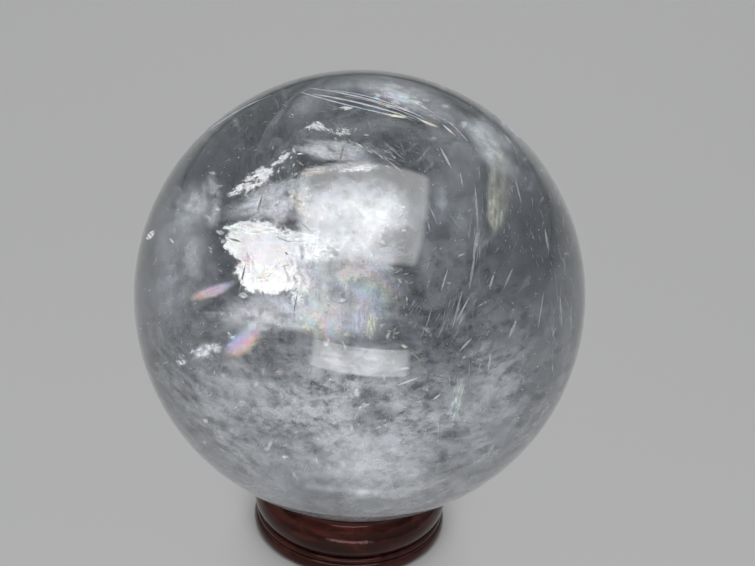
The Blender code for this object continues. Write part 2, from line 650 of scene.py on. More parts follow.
class CalciteStandSettings(bpy.types.PropertyGroup):
    """The turned ring."""

    wood: FloatVectorProperty(
        name="Wood", description="Main colour of the lacquered wood", subtype="COLOR",
        default=(0.006, 0.0018, 0.0014), min=0.0, max=1.0,
    )
    glow: FloatVectorProperty(
        name="Figure", description="Colour of the lighter figure in the wood", subtype="COLOR",
        default=(0.020, 0.0045, 0.0032), min=0.0, max=1.0,
    )
    gloss: FloatProperty(
        name="Gloss", description="Roughness of the lacquer, low for a high gloss",
        default=0.06, min=0.0, max=1.0, subtype="FACTOR",
    )


class CalciteStageSettings(bpy.types.PropertyGroup):
    """Floor, lights and camera."""

    floor: FloatVectorProperty(
        name="Floor", description="Colour of the plain floor", subtype="COLOR",
        default=(0.190, 0.190, 0.190), min=0.0, max=1.0,
    )
    overhead: FloatProperty(
        name="Overhead softbox", description="Power of the large light above", unit="POWER",
        default=7.2, min=0.0, max=1000.0,
    )
    fill: FloatProperty(
        name="Fill", description="Power of the broad light that leaves no reflection", unit="POWER",
        default=8.6, min=0.0, max=1000.0,
    )
    rear: FloatProperty(
        name="Rear fill", description="Power of the broad light behind the stone", unit="POWER",
        default=7.4, min=0.0, max=1000.0,
    )
    front: FloatProperty(
        name="Front strip", description="Power of the low light in front", unit="POWER",
        default=0.24, min=0.0, max=1000.0,
    )
    surround: FloatProperty(
        name="Surround", description="Brightness of the even light all round",
        default=0.40, min=0.0, max=10.0,
    )


# Flaws, placed where the photograph shows them: rows of flakes, as make_flake reads them, and rows
# of clusters, as make_cluster reads them. Pixels, degrees and shares of the line of sight.
FRACTURES = (
    ("main_fracture", 262, 261, 38, 41, 0, 0.1, 0.03, 0.05, 0.08, 11,
     dict(rumple=0.006, outline=(0.95, 1.25, 1.02, 0.98, 1.02, 1.08, 1.3, 1.18, 0.62, 0.84, 0.8, 0.92,
         0.84, 0.98, 0.98, 0.92))),
    ("main_fracture_crest", 252, 229, 31, 8, -2, 0.08, 0, 0, 0.16, 12,
     dict(rumple=0.006, outline=(1.0, 0.8, 0.9, 1.0, 0.9, 0.8, 1.0, 0.7, 0.5, 0.8, 0.6, 0.8))),
    ("left_spark", 150.5, 235, 6.0, 2.8, 48, 0.03, 0, 0, 0.1, 35),
    ("left_pair", 171.5, 241, 3.2, 1.6, -50, 0.1, 0, 0, 0.2, 36),
    ("left_point", 188, 247, 1.2, 2.2, 0, 0.11, 0, 0, 0.2, 38),
)
FROSTED = (
    ("main_fracture_spur", 298, 237, 26, 8, -12, 0.09, 0, 0, 0.3, 18, dict(rumple=0.006)),
    ("main_fracture_right", 296, 272, 20, 32, 4, 0.11, 0.03, 0.05, 0.25, 14),
    ("main_fracture_lobe", 322, 247, 24, 15, 10, 0.12, 0.03, 0.05, 0.25, 15),
    ("slope_fracture_low", 252, 182, 24, 9, 33, 0.08, 0.04, 0.03, 0.35, 31),
    ("slope_fracture_top", 262, 174, 13, 7, 24, 0.07, 0.04, 0.03, 0.35, 41),
    ("slope_fracture_high", 281, 158, 15, 4.4, 38, 0.1, 0.03, 0.02, 0.3, 32),
    ("slope_fracture_foot", 238, 191, 13, 3.6, 20, 0.08, 0.03, 0.02, 0.4, 30),
    ("crown_fracture", 318, 128, 14, 4.6, -10, 0.11, 0, 0, 0.4, 33, dict(curl=-0.5)),
    ("crown_fracture_right", 341, 129, 13, 4.6, -26, 0.12, 0, 0, 0.45, 37, dict(curl=0.8)),
    ("crown_flash", 345, 108, 8, 2.4, 2, 0.1, 0, 0, 0.3, 34),
    ("heart_point", 306, 196, 5, 3.4, 10, 0.13, 0, 0, 0.3, 39),
    ("film_point", 243, 295, 5, 4, 10, 0.09, 0, 0, 0.3, 40),
    ("glare_brow", 362, 168, 21, 4.4, 4, 0.13, 0, 0, 0.55, 43),
)
WHITE_CLUSTERS = (
    (326, 127, 16, 5, 26, 1.0, 4, 0.1, 0.14, -10, 40.0, 0.35),
    (264, 174, 23, 3.0, 30, 1.2, 5, 0.07, 0.1, 36, 24, 0.35),
    (370, 150, 20, 5, 20, 1.2, 5, 0.11, 0.15, -30, 12, 0.2),
    (300, 196, 14, 12, 20, 1.0, 3.4, 0.08, 0.12, 0.0, 60, 0.5),
)
PEARLS = (
    ("pearl_right_of_main", 309, 262, 30, 36, -8, 0.28, 0.06, 0.05, 0.25, 41),
    ("pearl_under_glare", 358, 214, 62, 44, 6, 0.29, 0.05, 0.07, 0.16, 42),
    ("pearl_left_of_glare", 322, 222, 34, 34, -18, 0.27, 0.05, 0.07, 0.25, 48),
    ("pearl_below_glare", 362, 262, 52, 20, 14, 0.31, 0.04, 0.05, 0.3, 49),
    ("pearl_above_main", 282, 200, 46, 26, 12, 0.27, 0.04, 0.05, 0.3, 44),
    ("pearl_below_main", 276, 312, 62, 22, 2, 0.29, 0.04, 0.04, 0.25, 45),
    ("pearl_left_patch", 207, 350, 18, 8, 12, 0.14, 0.03, 0.03, 0.3, 46),
    ("pearl_left_dot", 181, 360, 6, 7, 70, 0.11, 0, 0, 0.3, 50),
    ("pearl_crown", 338, 150, 44, 12, -2, 0.29, 0.04, 0.05, 0.3, 47),
)
PEARL_CLUSTERS = (
    (314, 262, 20, 26, 44, 2, 8, 0.18, 0.3, 80, 20, 0.3),
    (286, 188, 26, 16, 50, 1.5, 6, 0.15, 0.27, 0.0, 60, 0.5),
    (216, 206, 5, 24, 18, 2, 7, 0.15, 0.21, 0, 30, 0.5),
    (207, 350, 18, 5, 16, 2, 6, 0.09, 0.15, 12, 30, 0.5),
    (280, 306, 34, 12, 34, 2, 8, 0.17, 0.27, 0.0, 50, 0.5),
    (378, 156, 16, 6, 26, 1.5, 6, 0.17, 0.27, -30, 16, 0.3),
    (330, 405, 80, 40, 80, 2, 8, 0.12, 0.33, 25, 40, 0.5),
    (400, 262, 36, 26, 40, 1.5, 7, 0.18, 0.3, 30, 24, 0.3),
)
FILMS = (
    ("film_left_streak", 211, 291, 28, 7.2, 19, 0.1, 0, 0, 0.15, 54,
     dict(curl=0.3, rumple=0.002, hue=0.24, phase=(0.22, 0.06, 0.02))),
    ("film_band", 242, 341, 27, 13, 40, 0.1, 0, 0, 0.12, 55,
     dict(curl=0.35, rumple=0.002, hue=0.27, phase=(0.02, 0.36, 0.02))),
    ("film_crown_edge", 396, 116, 15, 1.7, -8, 0.14, 0, 0, 0.25, 60,
     dict(rumple=0.003, hue=0.95, phase=(0.04, 0.04, 0.04))),
    ("film_crown_end", 428, 123, 12, 1.8, -22, 0.16, 0, 0, 0.25, 67,
     dict(rumple=0.003, hue=0.93, phase=(0.1, 0.1, 0.1))),
)
FAINT_FILMS = (
    ("film_main", 265, 274, 18, 9, 14, 0.07, 0, 0, 0.3, 51, dict(hue=0.4, phase=(0.05, 0.05, 0.04))),
    ("film_main_pink", 248, 262, 13, 16, 10, 0.07, 0, 0, 0.3, 56,
     dict(hue=0.66, phase=(0.06, 0.06, 0.05))),
    ("film_main_green", 236, 229, 13, 7, 4, 0.06, 0, 0, 0.3, 64, dict(hue=0.16, phase=(0.06, 0.06, 0.05))),
    ("film_orange", 315, 171, 19, 5.0, 4, 0.22, 0, 0, 0.25, 52, dict(hue=0.5, phase=(0.05, 0.02, 0.04))),
    ("film_upright", 358, 318, 12, 27, -3, 0.2, 0, 0, 0.25, 57,
     dict(hue=-0.12, phase=(-0.22, 0.05, 0.05))),
    ("film_upright_green", 371, 326, 8, 18, -3, 0.2, 0, 0, 0.25, 68,
     dict(hue=0.26, phase=(0.12, 0.05, 0.05))),
    ("film_low_right", 457, 402, 8, 30, -12, 0.2, 0, 0, 0.2, 58, dict(hue=0.1, phase=(0.35, 0.05, 0.05))),
    ("film_crown", 402, 98, 26, 6, -14, 0.16, 0, 0, 0.2, 59, dict(phase=(0.5, 0.2, 0.2))),
    ("film_centre", 346, 294, 66, 52, -6, 0.24, 0.03, 0.05, 0.2, 66, dict(phase=(0.9, 0.6, 0.8))),
    ("film_centre_left", 322, 318, 34, 30, -6, 0.2, 0.03, 0.05, 0.2, 74, dict(phase=(0.6, 0.7, 0.8))),
    ("film_upper_centre", 299, 202, 10, 26, 22, 0.24, 0, 0, 0.3, 53,
     dict(hue=0.34, phase=(0.05, 0.05, 0.1))),
    ("film_right_of_main", 312, 276, 26, 32, -10, 0.26, 0, 0, 0.3, 69, dict(phase=(0.4, 0.5, 0.4))),
)
FILM_CLUSTERS = (
    (346, 292, 34, 26, 130, 1.5, 7, 0.14, 0.28, 80, 30, 0.5),
    (299, 203, 12, 4, 34, 1.2, 4.4, 0.18, 0.26, -62, 60, 0.5, dict(hues=(0.28, 0.48))),
    (315, 171, 14, 3, 18, 1.5, 5, 0.2, 0.26, 0.0, 30, 0.5, dict(hues=(0.42, 0.56))),
    (262, 272, 14, 9, 26, 2, 7, 0.06, 0.08, 0.0, 60, 0.5),
    (410, 104, 26, 6, 24, 2, 7, 0.14, 0.22, -18, 14, 0.5),
    (372, 322, 18, 12, 30, 2, 6, 0.18, 0.28, 0.0, 60, 0.5),
    (330, 390, 70, 40, 46, 2, 8, 0.1, 0.3, 25, 40, 0.5),
)
BRIGHT_CLOUDS = (
    # The clouds named after the glare lie behind the softbox's reflection and brighten it: cloud, and
    # partly a painted highlight
    ("cloud_under_glare", 360, 217, 64, 48, 8, 0.17, 0.04, 0.06, 0.1, 101),
    ("cloud_glare_heart", 366, 214, 40, 28, 24, 0.14, 0.03, 0.04, 0.1, 102),
    ("cloud_beside_main", 316, 246, 34, 26, -20, 0.16, 0.03, 0.04, 0.2, 103),
    ("cloud_lens", 334, 150, 37, 13, -2, 0.14, 0.03, 0.06, 0.05, 115,
     dict(rumple=0.006, outline=(1.0, 0.8, 0.82, 0.9, 0.82, 0.8, 1.0, 0.9, 0.96, 1.0, 0.96, 0.9))),
    ("cloud_left_of_glare", 324, 213, 30, 19, -24, 0.14, 0.03, 0.04, 0.2, 116),
    ("cloud_lens_edge", 352, 166, 40, 8, 6, 0.2, 0.03, 0.04, 0.2, 104),
)
PALE_CLOUDS = (
    ("cloud_centre", 345, 292, 80, 60, -4, 0.21, 0.04, 0.06, 0.15, 105),
    ("cloud_right_centre", 446, 224, 40, 84, -4, 0.3, 0.04, 0.04, 0.15, 117),
    ("cloud_upper_left", 212, 200, 12, 34, 2, 0.12, 0.02, 0.03, 0.15, 118),
    ("cloud_upper_left_wide", 194, 206, 26, 30, 30, 0.16, 0.02, 0.03, 0.15, 119),
    ("cloud_above_main", 262, 206, 50, 20, 10, 0.21, 0.04, 0.06, 0.15, 106),
    ("cloud_left", 180, 262, 44, 92, -6, 0.27, 0.04, 0.04, 0.15, 107),
    ("cloud_below_main", 262, 318, 60, 26, 4, 0.22, 0.04, 0.04, 0.2, 108),
    # This pale cloud lies on the front strip's reflected bar and brightens it: cloud, and partly a painted
    # reflection
    ("cloud_bar", 362, 358, 66, 20, -4, 0.18, 0.04, 0.04, 0.15, 109),
    ("cloud_bottom", 350, 468, 150, 48, 0, 0.08, 0.0, 0.0, 0.1, 110, dict(bow=(0.06, 0.04))),
    ("cloud_crown", 404, 100, 84, 17, -17, 0.13, 0, 0, 0.1, 111, dict(bow=(0.06, 0.02), curl=-0.8)),
    ("cloud_foot", 352, 490, 130, 28, 0, 0.05, 0, 0, 0.1, 114, dict(bow=(0.03, 0.03))),
    ("cloud_crown_right", 492, 148, 46, 18, -50, 0.14, 0, 0, 0.15, 112, dict(bow=(0.04, 0.02))),
)
AMBER_BANDS = (
    ("amber_band", 498, 190, 14, 54, -3, 0.24, 0.02, 0.05, 0.1, 121,
     dict(outline=(1.0, 0.95, 0.8, 0.9, 0.8, 0.95))),
    ("amber_heart", 496, 208, 10, 26, -3, 0.22, 0.02, 0.04, 0.12, 122),
)
VEILS = (
    ("veil_crown", 402, 104, 92, 20, -16, 0.24, 0.05, 0.05, 0.08, 71, dict(bow=(0.1, 0.05), curl=-0.9)),
    ("veil_right_crown", 508, 158, 40, 58, 28, 0.3, -0.05, 0.03, 0.1, 72, dict(bow=(0.05, 0.1))),
    ("veil_left", 176, 262, 40, 90, -4, 0.28, 0.08, 0.04, 0.1, 65, dict(bow=(0.05, 0.1))),
    ("veil_low_left", 232, 400, 82, 62, -30, 0.22, 0.08, 0.02, 0.1, 62, dict(bow=(0.08, 0.05))),
    ("veil_bottom", 345, 462, 140, 48, 2, 0.26, 0.0, -0.05, 0.08, 61, dict(bow=(0.12, 0.1))),
    ("veil_low_right", 492, 420, 92, 62, 40, 0.26, -0.06, 0.03, 0.1, 63, dict(bow=(0.08, 0.05))),
    ("veil_column", 478, 235, 10, 74, 2, 0.34, 0.02, 0.06, 0.15, 73),
)
SMUDGES = (
    ("smudge_a", 420, 355, 8, 6, -20, 0.2, 0, 0, 0.35, 81),
    ("smudge_b", 429, 372, 9, 6, -20, 0.2, 0, 0, 0.35, 82),
    ("smudge_c", 446, 364, 7, 4, 0, 0.2, 0, 0, 0.35, 83),
    ("smudge_d", 260, 377, 6, 5, 0, 0.2, 0, 0, 0.35, 84),
    ("smudge_e", 307, 340, 12, 5, 20, 0.24, 0, 0, 0.35, 85),
    ("smudge_f", 327, 450, 10, 4, 18, 0.12, 0, 0, 0.35, 86),
    ("smudge_g", 251, 390, 5, 6, 0, 0.2, 0, 0, 0.35, 87),
    ("smudge_h", 224, 312, 6, 20, -14, 0.24, 0, 0, 0.2, 88),
    ("smudge_lens_top", 330, 136.5, 26, 2.2, -3, 0.06, 0, 0, 0.3, 93),
    ("smudge_lens_left", 294, 160, 9, 2.4, -32, 0.06, 0, 0, 0.3, 94),
    ("smudge_lens_right", 378, 159, 17, 3, -22, 0.06, 0, 0, 0.3, 95),
    ("smudge_heart", 292, 214, 6, 12, -30, 0.06, 0, 0, 0.35, 96),
    ("smudge_beside_lobe", 302, 250, 3, 14, 6, 0.06, 0, 0, 0.35, 97),
    ("smudge_i", 232, 241, 11, 3.4, -10, 0.22, 0, 0, 0.4, 89),
    ("smudge_j", 327, 395, 16, 7, 40, 0.24, 0, 0, 0.3, 90),
    ("smudge_k", 385, 312, 12, 18, 24, 0.26, 0, 0, 0.3, 91),
    ("smudge_l", 300, 425, 26, 6, 34, 0.2, 0, 0, 0.3, 92),
)
FAR_FRACTURES = (
    ("far_fracture_left", 330, 318, 40, 22, 28, 0.14, 0, 0, 0.3, 141, dict(swing=-135)),
    ("far_fracture_low", 400, 400, 46, 16, -20, 0.14, 0, 0, 0.35, 142, dict(swing=180)),
    ("far_fracture_right", 372, 300, 40, 20, -35, 0.14, 0, 0, 0.3, 143, dict(swing=130)),
)
FAR_VEILS = (
    ("far_veil_left", 350, 250, 120, 84, 24, 0.2, 0.06, -0.05, 0.15, 131,
     dict(bow=(0.08, 0.05), swing=-140)),
    ("far_veil_low_left", 330, 430, 150, 66, -8, 0.16, 0, 0, 0.15, 132, dict(bow=(0.1, 0.05), swing=-130)),
    ("far_veil_low_right", 380, 430, 150, 66, 8, 0.16, 0, 0, 0.15, 133, dict(bow=(0.1, 0.05), swing=130)),
    ("far_veil_middle", 360, 300, 110, 80, -16, 0.24, 0.02, 0.05, 0.15, 134,
     dict(bow=(0.08, 0.05), swing=180)),
    ("far_veil_right", 370, 260, 100, 90, 30, 0.2, -0.05, 0.04, 0.15, 135,
     dict(bow=(0.08, 0.05), swing=125)),
)
FAR_CLUSTERS = (
    (330, 260, 70, 60, 70, 2, 9, 0.08, 0.36, 30, 24, 0.4, dict(swing=-140)),
    (360, 400, 90, 50, 80, 2, 9, 0.08, 0.36, -20, 30, 0.4, dict(swing=180)),
    (380, 280, 70, 70, 70, 2, 9, 0.08, 0.36, 60, 30, 0.4, dict(swing=130)),
)
# Cleavage needles, white slivers whose whiteness is a painted glint: both ends in pixels, the largest half
# width, and the depths of both ends
NEEDLES = (
    (440, 147, 452, 169, 0.9, 0.3, 0.34), (460, 172, 463, 187, 0.6, 0.3, 0.33),
    (475, 185, 478, 226, 0.9, 0.34, 0.4), (478, 228, 473, 262, 1.2, 0.34, 0.4),
    (475, 255, 469, 291, 1.1, 0.36, 0.42), (463, 288, 452, 330, 0.8, 0.38, 0.44),
    (470, 296, 456, 322, 0.6, 0.35, 0.38), (545, 229, 549, 252, 0.9, 0.3, 0.34),
    (494, 274, 489, 290, 0.9, 0.36, 0.38), (513, 268, 504, 288, 0.7, 0.36, 0.4),
    (517, 320, 509, 338, 1.2, 0.3, 0.33), (555, 328, 552, 338, 0.8, 0.28, 0.3),
    (472, 338, 459, 352, 0.9, 0.32, 0.35), (446, 320, 438, 338, 0.6, 0.36, 0.4),
    (432, 308, 425, 330, 0.5, 0.38, 0.42), (441, 292, 448, 268, 0.5, 0.38, 0.42),
    (396, 386, 420, 377, 0.8, 0.3, 0.33), (433, 400, 441, 394, 0.8, 0.3, 0.31),
    (491, 352, 488, 372, 0.8, 0.3, 0.33), (442, 124, 456, 136, 0.7, 0.24, 0.26),
    (504, 134, 512, 144, 0.6, 0.24, 0.26), (428, 203, 438, 225, 0.5, 0.4, 0.44),
    (428, 222, 430, 232, 0.7, 0.36, 0.38), (515, 178, 522, 205, 0.5, 0.34, 0.38),
    (560, 290, 562, 335, 0.5, 0.26, 0.3), (572, 300, 570, 345, 0.4, 0.26, 0.3),
    (385, 158, 402, 172, 0.6, 0.42, 0.46), (370, 148, 392, 166, 0.4, 0.42, 0.46),
    (383, 142, 405, 160, 0.4, 0.44, 0.48), (544, 290, 538, 330, 0.4, 0.28, 0.32),
)
# Both ends in pixels and the largest half width
CRACKS = (
    (263, 193, 257, 214, 0.9), (246, 262, 238, 297, 1.0), (344, 143, 339, 165, 1.0),
    (298, 290, 293, 317, 0.6), (276, 237, 290, 242, 0.5), (285, 252, 288, 255, 0.9),
    (281, 267, 291, 264, 0.4), (228, 238, 242, 242, 1.1), (398, 251, 405, 255, 0.8),
    (216, 190, 215, 204, 0.5), (430, 374, 446, 378, 1.2), (412, 352, 426, 368, 1.2),
    (296, 160, 304, 166, 1.0), (306, 166, 338, 168, 0.5), (374, 153, 398, 162, 0.5),
    (300, 222, 313, 233, 0.8),
)
# Fine parallel slivers, where cleavage shows as brushed lines, as group_slivers reads them
SLIVER_GROUPS = (
    (476, 230, 6, 62, 86, 7, 8, 26, 34, 0.45), (450, 318, 26, 26, 68, 7, 6, 22, 26, 0.42),
    (490, 300, 26, 40, 70, 12, 4, 14, 24, 0.4), (505, 200, 18, 50, 100, 14, 3, 10, 60, 0.4),
    (385, 152, 26, 9, -38, 14, 5, 18, 46, 0.4), (560, 310, 12, 50, 96, 8, 10, 34, 30, 0.35),
    (318, 265, 30, 24, 84, 14, 4, 16, 80, 0.5), (384, 246, 34, 12, 30, 9, 6, 22, 44, 0.5),
    (420, 300, 34, 26, 72, 20, 4, 12, 20, 0.35), (420, 108, 34, 10, -22, 6, 8, 30, 40, 0.35),
    (250, 205, 34, 22, 70, 40, 2, 8, 70, 0.5), (470, 395, 30, 26, 76, 14, 6, 20, 34, 0.35),
    (290, 440, 44, 34, 34, 30, 3, 11, 70, 0.4), (215, 380, 34, 46, 60, 40, 2, 9, 70, 0.4),
    (350, 390, 60, 30, 20, 40, 2, 9, 80, 0.4), (235, 140, 44, 22, 40, 16, 3, 14, 36, 0.3),
    (320, 110, 50, 14, 8, 20, 3, 14, 30, 0.3), (545, 220, 26, 50, 100, 18, 3, 14, 40, 0.3),
    (175, 300, 20, 60, 80, 30, 2, 9, 30, 0.3),
)

# Bright arcs near the top, cleavage lines whose brightness is a painted internal reflection: four points
# of a cubic curve in pixels, the half width and the depth
TOP_ARC_LINES = (
    (((208, 131), (226, 117), (247, 104), (272, 95)), 0.55, 0.14),
    (((308, 88), (345, 92), (382, 101), (424, 117)), 0.8, 0.2),
    (((312, 94), (342, 98), (380, 107), (415, 119)), 1.0, 0.2),
    (((330, 90), (362, 93), (396, 102), (430, 122)), 0.6, 0.22),
    (((345, 96), (372, 100), (400, 108), (438, 128)), 0.5, 0.24),
    (((300, 92), (330, 101), (366, 110), (402, 117)), 0.9, 0.18),
    (((385, 92), (405, 96), (426, 106), (448, 124)), 0.5, 0.24),
    (((443, 118), (455, 126), (462, 134), (468, 142)), 0.6, 0.24),
)


# What each flaw's finish says beyond its name, as flaw_finish takes it
FINISHES = {
    "fracture_white": dict(
        dark=(0.90, 0.89, 0.89), light=(1.0, 0.995, 0.985), grain=1300.0, cover=(0.18, 0.36),
        jitter=0.7, film=0.14, bands=2.4, relief=0.03, turn=(0.0, 0.5, 0.3), stretch=(1.0, 1.0, 0.6)),
    "fracture_frost": dict(
        dark=(0.72, 0.73, 0.75), light=(1.0, 1.0, 1.0), grain=1500.0, cover=(0.40, 0.54), most=0.95,
        soft=0.45, jitter=1.1, film=0.12, bands=2.4, relief=0.06, turn=(0.2, 0.3, 0.5),
        stretch=(1.0, 1.0, 0.7)),
    "fracture_pearl": dict(
        dark=(0.50, 0.51, 0.54), light=(0.97, 0.97, 1.0), grain=900.0, cover=(0.32, 0.58), most=0.70,
        soft=0.6, jitter=1.0, film=0.14, bands=2.5, relief=0.1, turn=(0.2, 0.0, 0.5),
        stretch=(1.5, 1.0, 0.5)),
    "rainbow_film": dict(
        dark=(0.62, 0.63, 0.66), light=(0.97, 0.97, 0.98), grain=900.0, cover=(0.10, 0.42), most=0.84,
        soft=0.75, jitter=0.35, film=0.85, bands=0.12, rough=0.4, relief=0.02),
    "faint_film": dict(
        dark=(0.66, 0.67, 0.70), light=(0.97, 0.97, 0.98), grain=800.0, cover=(0.30, 0.56), most=0.66,
        soft=0.75, jitter=0.9, film=0.62, bands=1.2, rough=0.4, turn=(0.0, 0.0, 0.4),
        stretch=(1.4, 1.0, 0.5)),
    "bright_cloud": dict(
        dark=(0.58, 0.59, 0.61), light=(0.95, 0.95, 0.96), grain=620.0, cover=(0.34, 0.64), most=0.54,
        soft=0.62, jitter=0.8, film=0.05, bands=1.0, rough=0.9, relief=0.05, turn=(0.0, 0.6, 0.2),
        stretch=(1.3, 1.0, 0.6)),
    "pale_cloud": dict(
        dark=(0.55, 0.57, 0.60), light=(0.95, 0.96, 0.98), grain=620.0, cover=(0.26, 0.66), most=0.46,
        soft=0.8, jitter=0.6, film=0.06, bands=1.6, rough=0.9, relief=0.1, turn=(0.0, 0.4, 0.2),
        stretch=(1.0, 1.0, 0.7)),
    "amber_cloud": dict(
        dark=(0.38, 0.38, 0.30), light=(0.56, 0.56, 0.45), grain=900.0, cover=(0.08, 0.42), most=0.50,
        soft=0.4, rough=0.8, relief=0.1),
    "milky_veil": dict(
        dark=(0.60, 0.62, 0.65), light=(0.95, 0.96, 0.97), grain=300.0, cover=(0.36, 0.70), most=0.24,
        soft=0.8, jitter=0.5, rough=0.9, relief=0.2, turn=(0.3, 0.5, 0.2), stretch=(1.0, 1.6, 1.0)),
    "far_veil": dict(
        dark=(0.55, 0.57, 0.60), light=(0.96, 0.97, 0.98), grain=520.0, cover=(0.36, 0.66), most=0.38,
        soft=0.8, jitter=0.9, film=0.06, rough=0.9, relief=0.1, turn=(0.5, 0.2, 0.3),
        stretch=(1.3, 1.0, 0.6)),
    "dark_patch": dict(
        dark=(0.03, 0.03, 0.035), light=(0.12, 0.12, 0.13), grain=1100.0, cover=(0.30, 0.55), most=0.55,
        soft=0.8, jitter=0.8, rough=0.6),
}

# Grids: circles between the poles and columns round them
STONE_GRID = (127, 256)
CLOUD_GRID = (71, 144)
RING_COLUMNS = 192

# Milky shells, as shares of the stone's radius, and the shards that are strewn through the stone
CLOUD_SHELLS = (0.68, 0.79, 0.89, 0.97)
DUST_COUNT = 6500
DUST_SIZE = (0.00003, 0.00010)

# The ring's section, in millimetres. An arc is its centre and half axes, its angles and its points.
RING_SEAT = ((12.2, 11.05), (14.9, 12.0))
RING_ARCS = (
    ((14.95, 11.25, 0.75, 0.85), (85.0, -35.0), 12),
    ((13.60, 6.30, 4.10, 3.90), (60.0, -38.0), 40),
    ((16.50, 3.05, 0.75, 0.62), (125.0, -65.0), 16),
    ((16.70, 1.30, 1.00, 1.30), (68.0, -90.0), 24),
)
RING_BORE = ((11.9, 0.0), (11.5, 0.4), (11.5, 10.35))

# Lamps: the setting with their power, elevation and azimuth in degrees, distance and size in metres,
# roll in degrees, and whether they show in gloss and through the stone
LAMPS = {
    "overhead_softbox": ("overhead", 74.2, -0.6, 0.70, (0.82, 0.72), 0.0, True),
    "fill": ("fill", 36.0, 0.0, 0.8, (0.9, 0.5), 0.0, False),
    "rear_fill": ("rear", 140.0, 0.0, 0.8, (0.9, 0.5), 0.0, False),
    "front_strip": ("front", 1.6, 1.6, 0.32, (0.275, 0.080), -5.0, True),
}

# Width of the soft edge of a lamp, as a share of its side
SOFT_EDGE = 0.08


# Operators

class CALCITE_OT_stone(bpy.types.Operator):
    """Make the polished clear ball that stands for the solid stone"""

    bl_idname = "calcite.stone"
    bl_label = "Polished stone"

    def execute(self, context):
        settings = context.scene.calcite_stone
        points = ball_points(*STONE_GRID) * STONE_RADIUS + STONE_CENTRE
        stone = put_mesh("polished_stone", points, pole_faces(*STONE_GRID))
        finish = Finish("polished_calcite")
        place = finish.place()
        cloud = finish.noise(place, 60.0, 5.0, 0.6)
        tint = finish.ramp(cloud, [(0.3, (0.80, 0.82, 0.85)), (0.7, (0.93, 0.94, 0.95))])
        polish = finish.noise(place, 50.0, 2.0, 0.5)
        finish.principled(
            Base_Color=tint, Roughness=0.015, IOR=settings.ior, Transmission_Weight=1.0,
            Normal=finish.bump(polish, 0.02, 0.00004), Sheen_Weight=0.05, Sheen_Roughness=0.35,
        )
        smoke = finish.add("ShaderNodeVolumeAbsorption")
        finish.feed(smoke.inputs["Color"], settings.smoke_tint)
        finish.feed(smoke.inputs["Density"], settings.smoke)
        finish.feed(finish.output.inputs["Volume"], smoke.outputs["Volume"])
        dress(stone, finish.material)
        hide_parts("calcite_sphere")
        return {"FINISHED"}


class CALCITE_OT_fractures(bpy.types.Operator):
    """Make the bright white fractures, the frosted ones round them and those of the far side"""

    bl_idname = "calcite.fractures"
    bl_label = "White fractures"

    def execute(self, context):
        make_flaws(context, "fracture_white", FRACTURES, closed=True)
        make_flaws(
            context, "fracture_frost", FROSTED + FAR_FRACTURES, "white_cluster", WHITE_CLUSTERS, 500
        )
        return {"FINISHED"}


class CALCITE_OT_pearls(bpy.types.Operator):
    """Make the half-clear, mottled fractures around the white ones"""

    bl_idname = "calcite.pearls"
    bl_label = "Mottled fractures"

    def execute(self, context):
        make_flaws(
            context, "fracture_pearl", PEARLS, "pearl_cluster", PEARL_CLUSTERS, 600,
            closed=True, rings=14,
        )
        return {"FINISHED"}


class CALCITE_OT_films(bpy.types.Operator):
    """Make the thin films that show rainbow colours"""

    bl_idname = "calcite.films"
    bl_label = "Rainbow films"

    def execute(self, context):
        make_flaws(context, "rainbow_film", FILMS)
        make_flaws(context, "faint_film", FAINT_FILMS, "film_cluster", FILM_CLUSTERS, 700)
        return {"FINISHED"}


class CALCITE_OT_mists(bpy.types.Operator):
    """Make the soft white clouds, those under the softbox's reflection partly a painted highlight, and the
    pale and amber ones around them
    """

    bl_idname = "calcite.mists"
    bl_label = "Soft clouds"

    def execute(self, context):
        make_flaws(context, "bright_cloud", BRIGHT_CLOUDS)
        make_flaws(context, "pale_cloud", PALE_CLOUDS)
        make_flaws(context, "amber_cloud", AMBER_BANDS)
        return {"FINISHED"}


class CALCITE_OT_veils(bpy.types.Operator):
    """Make the milky veils of the near and the far side"""

    bl_idname = "calcite.veils"
    bl_label = "Milky veils"

    def execute(self, context):
        make_flaws(context, "milky_veil", VEILS, rings=30, spokes=160)
        make_flaws(
            context, "far_veil", FAR_VEILS, "far_cluster", FAR_CLUSTERS, 800, rings=30, spokes=140
        )
        return {"FINISHED"}


class CALCITE_OT_smudges(bpy.types.Operator):
    """Make the small dark patches"""

    bl_idname = "calcite.smudges"
    bl_label = "Dark patches"

    def execute(self, context):
        make_flaws(context, "dark_patch", SMUDGES, rings=12, spokes=60)
        return {"FINISHED"}


